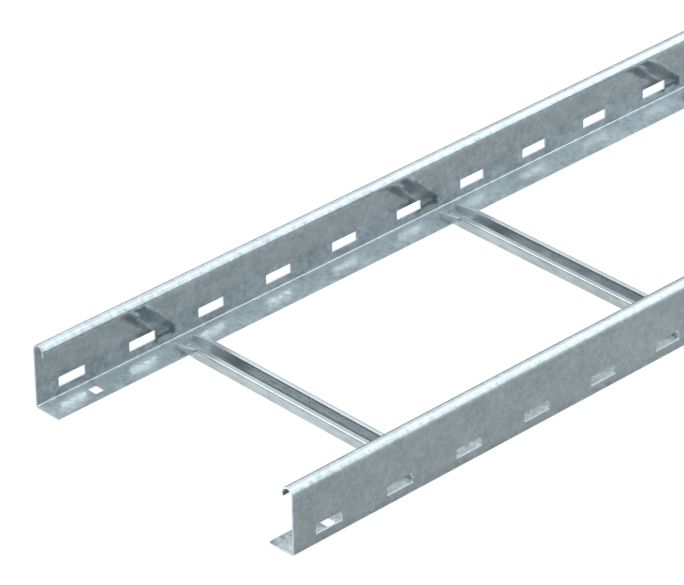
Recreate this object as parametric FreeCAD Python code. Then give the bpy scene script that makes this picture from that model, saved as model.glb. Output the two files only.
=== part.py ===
"""Cable ladder section: two bent side rails joined by C-channel rungs, in millimetres.

The ladder lies on its flanges. X runs along its length, Y across it and Z up, and the
origin is at the middle of its underside.
"""
import FreeCAD, Part
from math import cos, tan
import os

Vector = FreeCAD.Vector
along_ladder = Vector(1, 0, 0)
across_ladder = Vector(0, 1, 0)
upward = Vector(0, 0, 1)

# Overall sizes
ladder_length = 3000.0
ladder_width = 300.0          # between the outer faces of the two webs

# Side rail: one strip, bent inward at the foot and rolled inward at the top
rail_height = 60.0
rail_sheet = 1.5
flange_width = 27.0           # over the foot, from the outer face of the web
foot_bend = 1.0               # inner radius between web and flange
curl_width = 12.0             # over the half round at the top
curl_lip = 3.3                # straight lip that hangs below the half round

# Slots along the web
slot_length = 28.0
slot_height = 9.0
slot_corner = 0.7             # taken off each corner at 45 degrees
slot_bottom = 9.5             # from the underside of the rail
slot_pitch = 75.0
slot_start = 37.2             # from the end of the rail to the first slot's centre

# Nearly square hole near both ends of each flange
flange_hole_length = 9.7      # along the rail
flange_hole_width = 11.2      # across the flange
flange_hole_corner = 0.5
flange_hole_from_end = 50.0
flange_hole_from_face = 15.0  # from the outer face of the web to the hole's centre

# Rung: an upward-open channel with lips, standing on the two flanges
rung_pitch = 300.0
rung_start = 147.0            # from the end of the rails to the first rung's centre
rung_width = 20.8
rung_height = 9.7
rung_sheet = 1.5
rung_corner = 0.9             # outer radius of its four tightly pressed corners
rung_crease = 0.2             # inner radius of the same corners
rung_mouth = 11.4             # open width between the lips
rung_end_gap = 13.0           # from the outer face of the web to the end of the rung
rung_trim_length = 24.1       # along which the lips are cut away and the walls slope down
rung_trim_height = 8.8        # of the side walls where the lips end
rung_end_height = 4.5         # of the side walls at the very end

# Spot weld pressed into the floor of the rung above each flange
weld_from_end = 7.0
weld_diameter = 5.0
weld_depth = 0.6


def offset_corners(corners, distance, normal):
    """The same open line moved sideways, to the left as seen against the normal."""
    sides = [normal.cross(end - start).normalize() for start, end in zip(corners, corners[1:])]
    sides = [sides[0]] + sides + [sides[-1]]
    moved = []
    for corner, before, after in zip(corners, sides, sides[1:]):
        moved.append(corner + (before + after) * (distance / (1 + before.dot(after))))
    return moved


def rounded_path(corners, radii):
    """Edges of an open line through the corners, with an arc at each inner corner."""
    edges = []
    start = corners[0]
    for before, corner, after, radius in zip(corners, corners[1:], corners[2:], radii):
        arriving = (corner - before).normalize()
        leaving = (after - corner).normalize()
        half_turn = arriving.getAngle(leaving) / 2
        arc_start = corner - arriving * radius * tan(half_turn)
        arc_end = corner + leaving * radius * tan(half_turn)
        inward = (leaving - arriving).normalize()
        arc_middle = corner + inward * radius * (1 / cos(half_turn) - 1)
        if start.distanceToPoint(arc_start) > Part.Precision.confusion():
            edges.append(Part.LineSegment(start, arc_start).toShape())
        edges.append(Part.Arc(arc_start, arc_middle, arc_end).toShape())
        start = arc_end
    edges.append(Part.LineSegment(start, corners[-1]).toShape())
    return edges


def bent_sheet(corners, outer_radii, inner_radii, sheet, normal):
    """Section of a sheet whose outer face follows the corners, bent to the left of them."""
    outer = rounded_path(corners, outer_radii)
    inner_corners = offset_corners(corners, sheet, normal)
    inner = rounded_path(inner_corners, inner_radii)
    first_end = Part.LineSegment(inner_corners[0], corners[0]).toShape()
    last_end = Part.LineSegment(corners[-1], inner_corners[-1]).toShape()
    return Part.Face(Part.Wire(outer + [last_end] + inner[::-1] + [first_end]))


def blunt_cutter(size, corner, centre, through):
    """Block for cutting a hole with blunt corners along the axis called through."""
    block = Part.makeBox(size.x, size.y, size.z, centre - size * 0.5)
    corners = [edge for edge in block.Edges
               if abs(edge.tangentAt(edge.FirstParameter).dot(through)) > 0.5]
    return block.makeChamfer(corner, corners)


def positions(start, pitch):
    """Places along the ladder, counted from its near end at the pitch, that fit on it."""
    count = int((ladder_length - start) // pitch) + 1
    return [start + index * pitch - ladder_length / 2 for index in range(count)]


def rail_section():
    """The strip's section, its outer web face at Y 0 and the rest of it towards +Y."""
    middle = curl_width / 2
    corners = [
        Vector(0, curl_width, rail_height - middle - curl_lip),
        Vector(0, curl_width, rail_height),
        Vector(0, 0, rail_height),
        Vector(0, 0, 0),
        Vector(0, flange_width, 0),
    ]
    inner_radii = [middle - rail_sheet, middle - rail_sheet, foot_bend]
    outer_radii = [radius + rail_sheet for radius in inner_radii]
    return bent_sheet(corners, outer_radii, inner_radii, rail_sheet, along_ladder)


def side_rail():
    """One rail along the whole ladder, with its web on the -Y side."""
    rail = rail_section().extrude(along_ladder * ladder_length)
    rail.translate(Vector(-ladder_length / 2, 0, 0))

    slot_size = Vector(slot_length, 4 * rail_sheet, slot_height)
    slot_centre = Vector(0, rail_sheet / 2, slot_bottom + slot_height / 2)
    slot = blunt_cutter(slot_size, slot_corner, slot_centre, across_ladder)
    cutters = [slot.translated(along_ladder * x) for x in positions(slot_start, slot_pitch)]

    hole_size = Vector(flange_hole_length, flange_hole_width, 4 * rail_sheet)
    hole_centre = Vector(0, flange_hole_from_face, rail_sheet / 2)
    hole = blunt_cutter(hole_size, flange_hole_corner, hole_centre, upward)
    for end in (-1, 1):
        hole_place = end * (ladder_length / 2 - flange_hole_from_end)
        cutters.append(hole.translated(along_ladder * hole_place))

    rail = rail.cut(cutters)
    rail.translate(Vector(0, -ladder_width / 2, 0))
    return rail


def rung_section():
    """The channel's section in the XZ plane, centred on X 0 and standing on the flanges."""
    half = rung_width / 2
    mouth = rung_mouth / 2
    foot = rail_sheet
    top = rail_sheet + rung_height
    corners = [
        Vector(-mouth, 0, top),
        Vector(-half, 0, top),
        Vector(-half, 0, foot),
        Vector(half, 0, foot),
        Vector(half, 0, top),
        Vector(mouth, 0, top),
    ]
    return bent_sheet(corners, [rung_corner] * 4, [rung_crease] * 4, rung_sheet, -across_ladder)


def rung_end_trim():
    """What is cut off the channel at its +Y end: the lips, and a slope on both walls."""
    half_length = ladder_width / 2 - rung_end_gap
    trim_start = half_length - rung_trim_length
    trim_height = rail_sheet + rung_trim_height
    end_height = rail_sheet + rung_end_height
    clear = rung_height
    slope = Part.Face(Part.makePolygon([
        Vector(-rung_width, trim_start, trim_height),
        Vector(-rung_width, half_length, end_height),
        Vector(-rung_width, half_length + clear, end_height),
        Vector(-rung_width, half_length + clear, trim_height + clear),
        Vector(-rung_width, trim_start, trim_height + clear),
        Vector(-rung_width, trim_start, trim_height),
    ])).extrude(along_ladder * 2 * rung_width)
    inside = rung_width - 2 * rung_sheet
    lips = Part.makeBox(inside, rung_trim_length + clear, rung_height,
                        Vector(-inside / 2, trim_start, rail_sheet + 2 * rung_sheet))
    return slope.fuse(lips)


def weld_mark():
    """Shallow round dimple in the floor near the rung's +Y end."""
    ball = (weld_diameter ** 2 / 4 + weld_depth ** 2) / (2 * weld_depth)
    floor = rail_sheet + rung_sheet
    place = ladder_width / 2 - rung_end_gap - weld_from_end
    return Part.makeSphere(ball, Vector(0, place, floor + ball - weld_depth))


def rung():
    """One rung, centred on X 0, trimmed and marked at both ends."""
    half_length = ladder_width / 2 - rung_end_gap
    channel = rung_section().extrude(across_ladder * 2 * half_length)
    channel.translate(Vector(0, -half_length, 0))
    cutters = [rung_end_trim(), weld_mark()]
    opposite = [cutter.mirror(Vector(0, 0, 0), across_ladder) for cutter in cutters]
    return channel.cut(cutters + opposite)


def save(shape, name):
    shape.exportStep(os.path.join("parts", name + ".step"))


def main():
    os.makedirs("parts", exist_ok=True)
    right_rail = side_rail()
    save(right_rail, "right_side_rail")
    save(right_rail.mirror(Vector(0, 0, 0), across_ladder), "left_side_rail")
    model_rung = rung()
    for number, place in enumerate(positions(rung_start, rung_pitch), start=1):
        save(model_rung.translated(along_ladder * place), f"rung_{number:02d}")


main()
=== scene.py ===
"""The looks of a galvanised cable ladder section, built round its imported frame. Metres throughout."""
from math import cos, radians, sin

import bpy
from mathutils import Matrix, Vector

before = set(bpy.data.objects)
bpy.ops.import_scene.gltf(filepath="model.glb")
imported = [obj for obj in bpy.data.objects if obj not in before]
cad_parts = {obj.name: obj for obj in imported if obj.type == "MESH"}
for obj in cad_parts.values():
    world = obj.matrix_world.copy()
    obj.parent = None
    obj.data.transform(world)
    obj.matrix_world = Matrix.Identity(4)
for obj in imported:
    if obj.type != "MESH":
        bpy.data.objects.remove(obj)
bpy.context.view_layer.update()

MM = 0.001
FACING = 0.5                           # least part of a normal, for a face that looks along an axis

# Where a rail's colour changes: its sheared slot faces, and painted light and shade. Places across are from
# the ladder's middle.
SLOT_MIDDLE = 14.0 * MM
SLOT_REACH = 6.0 * MM
FLANGE_START = 121.5 * MM
FLANGE_TOP = 1.6 * MM
# Painted shade on each flange towards its edge, and painted light towards the web
FLANGE_SHADED_AT = 122 * MM
FLANGE_LIT_AT = 142 * MM
FLANGE_PAINTED_LIGHT = (-0.32, 0.20)
# A painted highlight along the inner bend between web and flange
BEND_MIDDLE = 1.95 * MM
BEND_REACH = 0.28 * MM
BEND_TILT = 0.1
BEND_HIGHLIGHT = 0.8
# Painted shade on the inner side of the right rail's curl
CURL_START = 55 * MM
CURL_TILT = 0.2
CURL_PAINTED_SHADE = -0.35

# Where a rung's colour changes: its sheared faces, painted highlights, and painted light and shade. Places
# along the rung are from its middle.
RUNGS = [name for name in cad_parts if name.startswith("rung")]
RUNG_PITCH = 300 * MM
FIRST_RUNG = -1353 * MM
TRIM_START = 112.9 * MM
TRIM_TOP = 10.3 * MM
TRIM_SLOPE = 0.178
SLOPE_TILT = 0.12
# A painted highlight along the top edges of the rungs' slopes
EDGE_HIGHLIGHT_WIDTH = 0.6 * MM
# A painted highlight on the top bend of each rung's near wall
CORNER_START = 10.2 * MM
CORNER_RISE = 0.3
CORNER_LEAN = -0.2
CORNER_HIGHLIGHT = 0.5
CHANNEL_MIDDLE = 1.0 * MM
CHANNEL_REACH = 9.3 * MM
# Painted light inside each rung's channel, rising towards the rails
LEE_START = 82 * MM
LEE_END = 104 * MM
LEE_PAINTED_LIGHT = (0.06, 0.80)
# Painted light on the rungs' far tips, and painted shade on their near tips
TIP_START = 113 * MM
TIP_END = 117 * MM
FAR_TIP_PAINTED_LIGHT = 0.58
NEAR_TIP_PAINTED_SHADE = -0.30
# A painted highlight line on each rung's far lip
LIP_LINE = 7.2 * MM
LIP_LINE_REACH = 1.1 * MM
LIP_START = 10.5 * MM
LIP_LINE_HIGHLIGHT = 0.50

# What all the zinc shares
METALLIC = 0.66
SHEARED_METALLIC = 0.2
SHEARED_ROUGHNESS = 0.4
CLOUD_SHARE = 0.35
BLOTCH_SHARE = 0.65
TONE_RANGE = (0.38, 0.62)              # of the noise, carried to -1 and 1
TONE_GLOSS = -0.04
GAIN_LIMIT = 1.78                      # keeps every colour below 1
GRAIN_DEPTH = 0.03 * MM


class Shader:
    """A node tree that is written as nested calls."""

    def __init__(self, owner):
        owner.use_nodes = True
        self.tree = owner.node_tree
        self.tree.nodes.clear()

    def add(self, kind, settings=None, **sockets):
        """A node. A socket is given by its name, or as i0, i1 and so on by its number."""
        made = self.tree.nodes.new(kind)
        for key, value in (settings or {}).items():
            setattr(made, key, value)
        for key, value in sockets.items():
            numbered = key[0] == "i" and key[1:].isdigit()
            socket = made.inputs[int(key[1:]) if numbered else key.replace("_", " ")]
            if isinstance(value, bpy.types.NodeSocket):
                self.tree.links.new(value, socket)
            else:
                socket.default_value = value
        return made

    def math(self, operation, *values):
        sockets = {f"i{index}": value for index, value in enumerate(values)}
        return self.add("ShaderNodeMath", {"operation": operation}, **sockets).outputs[0]

    def vector_math(self, operation, **sockets):
        return self.add("ShaderNodeVectorMath", {"operation": operation}, **sockets).outputs

    def product(self, first, *others):
        for other in others:
            first = self.math("MULTIPLY", first, other)
        return first

    def noise(self, scale, detail=3.0, roughness=0.5, distortion=0.0, seed=0.0, stretch=(1, 1, 1)):
        place = self.add("ShaderNodeTexCoord").outputs["Object"]
        mapping = self.add("ShaderNodeMapping", Vector=place, Location=(seed, seed, seed),
                           Scale=stretch).outputs[0]
        return self.add("ShaderNodeTexNoise", Vector=mapping, Scale=scale, Detail=detail,
                        Roughness=roughness, Distortion=distortion).outputs[0]

    def span(self, value, low, high, start=0.0, end=1.0):
        """The value carried from the range start to end into the range low to high."""
        return self.add("ShaderNodeMapRange", Value=value, From_Min=start, From_Max=end,
                        To_Min=low, To_Max=high).outputs[0]

    def profile(self, height, points):
        """The level at a height, along straight lines between points of (height in mm, level up to 2)."""
        top = points[-1][0]
        ramp = self.add("ShaderNodeValToRGB", Fac=self.math("DIVIDE", height, top * MM))
        elements = ramp.color_ramp.elements
        for index, (place, level) in enumerate(points):
            element = elements[index] if index < 2 else elements.new(place / top)
            element.position = place / top
            element.color = (level / 2, level / 2, level / 2, 1)
        return self.math("MULTIPLY", ramp.outputs["Color"], 2.0)

    def axes(self, vector):
        return self.add("ShaderNodeSeparateXYZ", Vector=vector).outputs

    def size(self, value):
        return self.math("ABSOLUTE", value)

    def above(self, value, limit):
        """1 where the value is above the limit, else 0."""
        return self.math("GREATER_THAN", value, limit)

    def below(self, value, limit):
        """1 where the value is below the limit, else 0."""
        return self.math("LESS_THAN", value, limit)

    def near(self, value, centre, reach):
        """1 where the value is within reach of the centre, else 0."""
        return self.math("COMPARE", value, centre, reach)


def rail_sills(shader, place, normal):
    """The level sheared faces of a rail's slots."""
    level = shader.above(shader.size(normal["Z"]), FACING)
    return shader.product(level, shader.near(place["Z"], SLOT_MIDDLE, SLOT_REACH))


def rail_cuts(shader, place, normal):
    """The sheared faces of a rail: its ends and the four sides of its slots."""
    across = shader.above(shader.size(normal["X"]), FACING)
    return shader.math("MAXIMUM", across, rail_sills(shader, place, normal))


def rail_painted_light(shader, place, normal):
    """A painted highlight along the inner side of a rail's bend, and painted light and shade on its flange,
    which is paler towards the web.
    """
    bend = shader.product(shader.near(place["Z"], BEND_MIDDLE, BEND_REACH),
                          shader.above(normal["Z"], BEND_TILT), BEND_HIGHLIGHT)
    low = shader.below(place["Z"], FLANGE_TOP)
    paler = shader.span(shader.size(place["Y"]), *FLANGE_PAINTED_LIGHT, FLANGE_SHADED_AT, FLANGE_LIT_AT)
    return shader.math("MULTIPLY_ADD", low, paler, bend)


def right_rail_painted_light(shader, place, normal):
    """The same, with painted shade on the inner side of the curl."""
    shaded_curl = shader.product(shader.above(place["Z"], CURL_START), shader.above(normal["Y"], CURL_TILT),
                          CURL_PAINTED_SHADE)
    return shader.math("ADD", rail_painted_light(shader, place, normal), shaded_curl)


def across_rung(shader, place):
    """How far a point of a rung is from the rung's own middle plane, along the ladder."""
    turned = shader.math("ADD", place["X"], RUNG_PITCH / 2 - FIRST_RUNG)
    return shader.math("SUBTRACT", shader.math("FLOORED_MODULO", turned, RUNG_PITCH), RUNG_PITCH / 2)


def rung_cuts_and_highlights(shader, place, normal):
    """The sheared faces of a rung, its ends and slopes, and painted highlights along the top edges of the
    slopes and on the near wall's top bend.
    """
    slopes = shader.above(shader.size(normal["Y"]), SLOPE_TILT)
    from_middle = shader.size(place["Y"])
    lowered = shader.math("MULTIPLY_ADD", from_middle, TRIM_SLOPE, place["Z"])
    edges = shader.product(shader.above(from_middle, TRIM_START),
                           shader.above(lowered, TRIM_TOP - EDGE_HIGHLIGHT_WIDTH + TRIM_START * TRIM_SLOPE))
    corner = shader.product(shader.above(place["Z"], CORNER_START), shader.above(normal["Z"], CORNER_RISE),
                            shader.below(normal["X"], CORNER_LEAN), CORNER_HIGHLIGHT)
    return shader.math("MAXIMUM", shader.math("MAXIMUM", slopes, edges), corner)


def rung_painted_light(shader, place, normal):
    """Painted light on the inside of a rung's channel towards the rails, mostly in the rails' lee, and on its
    far tips, painted shade on its near tips, and a painted highlight line on its far lip.
    """
    across = across_rung(shader, place)
    from_middle = shader.size(place["Y"])
    lee = shader.product(shader.near(across, CHANNEL_MIDDLE, CHANNEL_REACH),
                         shader.span(from_middle, *LEE_PAINTED_LIGHT, LEE_START, LEE_END))
    far_tips = shader.span(place["Y"], 0.0, FAR_TIP_PAINTED_LIGHT, TIP_START, TIP_END)
    near_tips = shader.product(shader.below(place["Y"], -FLANGE_START), NEAR_TIP_PAINTED_SHADE)
    line = shader.product(shader.near(across, LIP_LINE, LIP_LINE_REACH),
                          shader.above(place["Z"], LIP_START), LIP_LINE_HIGHLIGHT)
    return shader.math("ADD", shader.math("MAXIMUM", lee, far_tips), shader.math("ADD", near_tips, line))


def galvanised(name, zinc, gains, spreads, gloss, ripples, find_cuts_and_highlights, sheared_zinc, find_painted_light,
               stretch=(1, 1, 1), tip_roughness=0.0):
    """Zinc-coated strip: cloudy blotches in its tone and gloss over a ripple and a fine grain.

    The gains, spreads, gloss and ripples are profiles over the height: the light and shade painted into
    the zinc's colour, how far its tone goes both ways, how rough it is and how deep its ripple goes in
    millimetres. What the lift function gives, more painted light and shade by place, is added to the
    gain, which has a limit. Sheared faces are paler and duller, and on the rungs the same pale face is
    also drawn as painted highlights. The tip roughness is added from the far tips of the rungs on.
    """
    material = bpy.data.materials.new(name)
    shader = Shader(material)
    normal = shader.axes(shader.add("ShaderNodeNewGeometry").outputs["True Normal"])
    place = shader.axes(shader.add("ShaderNodeTexCoord").outputs["Object"])
    height = place["Z"]
    blotches = shader.noise(scale=200, detail=3, roughness=0.6, distortion=0.6, stretch=stretch)
    clouds = shader.noise(scale=45, detail=2, seed=3.0, stretch=stretch)
    waves = shader.noise(scale=130, detail=1, distortion=0.4, seed=5.0, stretch=stretch)
    grain = shader.noise(scale=750, detail=2, roughness=0.6, seed=7.0)
    tone = shader.math("MULTIPLY_ADD", clouds, CLOUD_SHARE, shader.math("MULTIPLY", blotches, BLOTCH_SHARE))
    tone = shader.span(tone, -1.0, 1.0, *TONE_RANGE)
    gain = shader.math("ADD", find_painted_light(shader, place, normal), shader.profile(height, gains))
    gain = shader.math("MULTIPLY_ADD", tone, shader.profile(height, spreads), gain)
    gain = shader.math("MINIMUM", gain, GAIN_LIMIT)
    colour = shader.vector_math("SCALE", Vector=zinc, Scale=gain)[0]
    roughness = shader.math("MULTIPLY_ADD", tone, TONE_GLOSS, shader.profile(height, gloss))
    tips = shader.span(place["Y"], 0.0, tip_roughness, TIP_START, TIP_END)
    roughness = shader.math("ADD", roughness, tips)
    depth = shader.math("MULTIPLY", shader.profile(height, ripples), MM)
    rippled = shader.add("ShaderNodeBump", Strength=1.0, Distance=depth, Height=waves).outputs[0]
    grained = shader.add("ShaderNodeBump", Strength=1.0, Distance=GRAIN_DEPTH, Height=grain,
                         Normal=rippled).outputs[0]
    coated = shader.add("ShaderNodeBsdfPrincipled", Base_Color=colour, Metallic=METALLIC,
                        Roughness=roughness, Normal=grained).outputs[0]
    sheared = shader.add("ShaderNodeBsdfPrincipled", Base_Color=sheared_zinc, Metallic=SHEARED_METALLIC,
                         Roughness=SHEARED_ROUGHNESS, Normal=grained).outputs[0]
    surface = shader.add("ShaderNodeMixShader", i0=find_cuts_and_highlights(shader, place, normal), i1=coated, i2=sheared)
    shader.add("ShaderNodeOutputMaterial", Surface=surface.outputs[0])
    return material


# The two rails are one steel, but their gains differ, to meet the tones that the photograph's light gives
RAIL_ZINC = (0.485, 0.535, 0.557)
RUNG_ZINC = (0.455, 0.495, 0.510)
PALE_ZINC = (0.64, 0.69, 0.71, 1)
# The rungs' sheared faces: bare steel paler than the coating, and brighter than the rails' cut faces as
# painted light; also drawn as the rungs' painted highlights
BRIGHT_ZINC = (0.93, 0.97, 0.98, 1)
ALONG_RUNG = (1, 0.3, 1)
RUNG_TIP_ROUGHNESS = 0.3
# Painted light by height: a painted highlight along the top of each curl
CURL_PAINTED_HIGHLIGHT = ((52, 0.95), (54.5, 1.04), (56, 1.15), (57.3, 1.48), (60, 1.46))
# The left rail's painted light and shade by height: a lit flange and a painted shade on the lower web
LEFT_PAINTED_LIGHT = (
    (0, 1.68), (1.8, 1.68), (2.2, 0.75), (4, 0.61), (20, 0.65), (25, 0.95), (45, 0.96)
) + CURL_PAINTED_HIGHLIGHT
# The right rail's painted light and shade by height, a shaded copy of the left rail's: its flange at little
# over half the brightness
RIGHT_PAINTED_LIGHT = ((0, 0.93), (1.8, 0.93), (4, 0.90), (9, 1.0), (45, 0.97)) + CURL_PAINTED_HIGHLIGHT
RAIL_SPREADS = ((0, 0.26), (1.8, 0.26), (4, 0.14), (60, 0.14))
RAIL_GLOSS = ((0, 0.23), (1.8, 0.23), (4, 0.08), (60, 0.08))
RAIL_RIPPLES = ((0, 0.50), (1.8, 0.50), (4, 0.03), (50, 0.04), (56, 0.38), (60, 0.38))
# The rungs' painted light and shade by height: a darker floor as painted shade, a painted shade along the
# lips' lower edge and a painted highlight on the lips' tops
RUNG_PAINTED_LIGHT = (
    (0, 0.80), (2, 0.80), (4, 0.89), (9.3, 0.92), (9.7, 0.62), (10.2, 0.62), (10.6, 1.12), (11.2, 1.12)
)
RUNG_SPREADS = ((0, 0.14), (11.2, 0.14))
RUNG_GLOSS = ((0, 0.16), (11.2, 0.16))
RUNG_RIPPLES = ((0, 0.10), (11.2, 0.10))
STEELS = {
    "left_side_rail": galvanised("left_rail_zinc", RAIL_ZINC, LEFT_PAINTED_LIGHT, RAIL_SPREADS, RAIL_GLOSS,
                                 RAIL_RIPPLES, rail_cuts, PALE_ZINC, rail_painted_light),
    # The right rail takes only its slot sills as sheared faces: its ends and slot sides, sheared as on the
    # left rail, keep the coated zinc as painted shade
    "right_side_rail": galvanised("right_rail_zinc", RAIL_ZINC, RIGHT_PAINTED_LIGHT, RAIL_SPREADS, RAIL_GLOSS,
                                  RAIL_RIPPLES, rail_sills, PALE_ZINC, right_rail_painted_light),
}
rung_steel = galvanised("rung_zinc", RUNG_ZINC, RUNG_PAINTED_LIGHT, RUNG_SPREADS, RUNG_GLOSS, RUNG_RIPPLES,
                        rung_cuts_and_highlights, BRIGHT_ZINC, rung_painted_light, ALONG_RUNG, RUNG_TIP_ROUGHNESS)
STEELS.update({name: rung_steel for name in RUNGS})

for name, material in STEELS.items():
    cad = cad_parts[name]
    for slot in cad.material_slots:
        slot.material = material
    if not cad.material_slots:
        cad.data.materials.append(material)

# Camera: its place, the direction that it looks in and its turn about that direction
CAMERA_PLACE = Vector((-3.593780, -2.446026, 2.089609))
CAMERA_AZIMUTH = radians(43.0923)      # from +Y towards +X
CAMERA_DROP = radians(30.8657)
CAMERA_ROLL = radians(-0.9341)
SENSOR_WIDTH = 36
FOCAL_LENGTH = 260.015
VIEW_DEPTH = 100
camera_data = bpy.data.cameras.new("camera")
camera_data.sensor_fit = "HORIZONTAL"
camera_data.sensor_width = SENSOR_WIDTH
camera_data.lens = FOCAL_LENGTH
camera_data.clip_end = VIEW_DEPTH
camera = bpy.data.objects.new("camera", camera_data)
camera.matrix_world = (
    Matrix.Translation(CAMERA_PLACE)
    @ Matrix.Rotation(-CAMERA_AZIMUTH, 4, "Z")
    @ Matrix.Rotation(radians(90) - CAMERA_DROP, 4, "X")
    @ Matrix.Rotation(CAMERA_ROLL, 4, "Z")
)
bpy.context.scene.collection.objects.link(camera)
bpy.context.scene.camera = camera

# Floor: white paper to the camera and matt to the light, but clear to mirrored rays, so that the metal
# shows the lights below the horizon and not this white
FLOOR_SIZE = 60.0
FLOOR_COLOUR = (0.44, 0.45, 0.46, 1)
PAPER_GLOW = 1.08
CAMERA_SHARE = 0.90
half = FLOOR_SIZE / 2
floor_corners = [(-half, -half, 0), (half, -half, 0), (half, half, 0), (-half, half, 0)]
floor_mesh = bpy.data.meshes.new("floor")
floor_mesh.from_pydata(floor_corners, [], [(0, 1, 2, 3)])
floor = bpy.data.objects.new("floor", floor_mesh)
bpy.context.scene.collection.objects.link(floor)
floor_material = bpy.data.materials.new("floor")
shader = Shader(floor_material)
path = shader.add("ShaderNodeLightPath").outputs
seen = shader.math("MAXIMUM", path["Is Camera Ray"], path["Is Transmission Ray"])
matt = shader.add("ShaderNodeBsdfDiffuse", Color=FLOOR_COLOUR).outputs[0]
white = shader.add("ShaderNodeEmission", Color=(1, 1, 1, 1), Strength=PAPER_GLOW).outputs[0]
paper = shader.add("ShaderNodeMixShader", i0=shader.math("MULTIPLY", seen, CAMERA_SHARE), i1=matt, i2=white)
clear = shader.add("ShaderNodeBsdfTransparent").outputs[0]
surface = shader.add("ShaderNodeMixShader", i0=path["Is Glossy Ray"], i1=paper.outputs[0], i2=clear)
shader.add("ShaderNodeOutputMaterial", Surface=surface.outputs[0])
floor_mesh.materials.append(floor_material)

# World: a dark studio with soft lights in it, each with its azimuth from +Y towards +X, its height
# above the horizon, its strength and its colour. Those below the horizon are seen in the metal only.
# Most strengths are rounded from a least squares fit to the tones of the photograph's surfaces.
COOL = (0.93, 1.0, 1.03)
PLAIN = (0.95, 1.0, 0.995)
SKY_FILL = (0.028, 0.030, 0.031)
LIGHT_TIGHTNESS = 10
SOFT_LIGHTS = (
    (-90, 12, 0.9, COOL),
    (-60, 40, 0.7, COOL),
    (-60, 68, 2.4, COOL),
    (-15, 40, 1.5, COOL),
    (10, 40, 2.0, COOL),
    (100, 40, 1.8, COOL),
    (112, 12, 1.4, COOL),
    (142, 12, 0.8, COOL),
    (-43, -31, 1.2, PLAIN),
    (-100, -22, 1.0, PLAIN),
    (0, -22, 0.4, PLAIN),
    (95, -25, 0.7, COOL),
    (137, -31, 0.35, COOL),
    (0, -80, 3.5, COOL),
)
world = bpy.data.worlds.new("studio")
bpy.context.scene.world = world
shader = Shader(world)
direction = shader.add("ShaderNodeTexCoord").outputs["Generated"]
total = SKY_FILL
for azimuth, height, peak, colour in SOFT_LIGHTS:
    flat = cos(radians(height))
    centre = (flat * sin(radians(azimuth)), flat * cos(radians(azimuth)), sin(radians(height)))
    facing = shader.vector_math("DOT_PRODUCT", i0=direction, i1=centre)["Value"]
    fade = shader.math("MULTIPLY", shader.math("SUBTRACT", facing, 1.0), LIGHT_TIGHTNESS)
    glow = shader.math("MULTIPLY", shader.math("EXPONENT", fade), peak)
    light = shader.vector_math("SCALE", Vector=colour, Scale=glow)[0]
    total = shader.vector_math("ADD", i0=light, i1=total)[0]
sky = shader.add("ShaderNodeBackground", Color=total).outputs[0]
shader.add("ShaderNodeOutputWorld", Surface=sky)
bpy.context.scene.view_settings.view_transform = "Standard"
